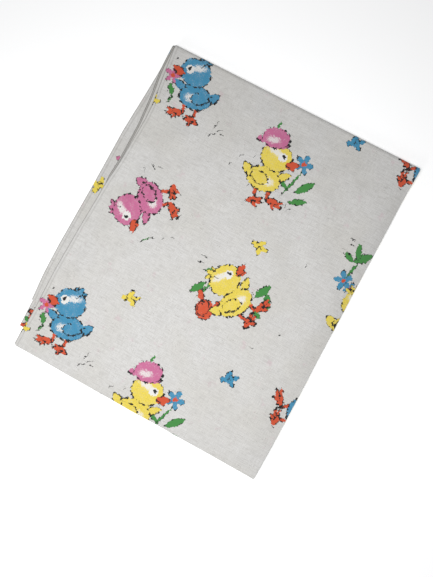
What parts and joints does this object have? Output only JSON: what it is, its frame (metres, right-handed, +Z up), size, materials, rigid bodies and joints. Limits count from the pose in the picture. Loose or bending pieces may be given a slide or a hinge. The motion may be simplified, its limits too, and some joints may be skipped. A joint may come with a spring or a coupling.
{
  "type": "rectangular sleeping bag",
  "caption": "Child's rectangular sheet sleeping bag of thin printed cotton, unpadded, folded lengthwise and into quarters as a flat packet; its top pair of quarters opens over the back.",
  "frame": {"origin": "middle of the folded packet's footprint, on the surface it lies on", "axes": "+X towards the lengthwise fold, +Y towards the back folds, +Z up"},
  "size_m": [0.328, 0.401, 0.0109],
  "materials": {
    "cotton": "plain-weave cotton, printed on its outer face",
    "thread": "white sewing thread"
  },
  "bodies": {
    "mouth_and_foot_quarters": {"under_panel_mouth_quarter": "cotton", "upper_panel_mouth_quarter": "cotton", "under_panel_foot_quarter": "cotton", "upper_panel_foot_quarter": "cotton", "under_panel_outer_fold": "cotton", "upper_panel_outer_fold": "cotton", "under_panel_inner_fold": "cotton", "upper_panel_inner_fold": "cotton", "left_side_seam_mouth_quarter": "thread", "right_side_seam_mouth_quarter": "thread", "left_side_seam_foot_quarter": "thread", "right_side_seam_foot_quarter": "thread", "foot_seam": "thread", "mouth_hem_under_panel": "thread", "mouth_hem_upper_panel": "thread"},
    "knee_and_chest_quarters": {"under_panel_knee_quarter": "cotton", "upper_panel_knee_quarter": "cotton", "under_panel_chest_quarter": "cotton", "upper_panel_chest_quarter": "cotton", "under_panel_middle_fold": "cotton", "upper_panel_middle_fold": "cotton", "left_side_seam_knee_quarter": "thread", "right_side_seam_knee_quarter": "thread", "left_side_seam_chest_quarter": "thread", "right_side_seam_chest_quarter": "thread"}
  },
  "joints": [
    {"name": "back_folds", "type": "hinge", "parent": "mouth_and_foot_quarters", "child": "knee_and_chest_quarters", "pos_m": [0, 0.19505, 0.00545], "axis": [-1, 0, 0], "range_deg": [0, 178], "deforming": ["under_panel_outer_fold", "upper_panel_outer_fold", "under_panel_inner_fold", "upper_panel_inner_fold"]}
  ]
}
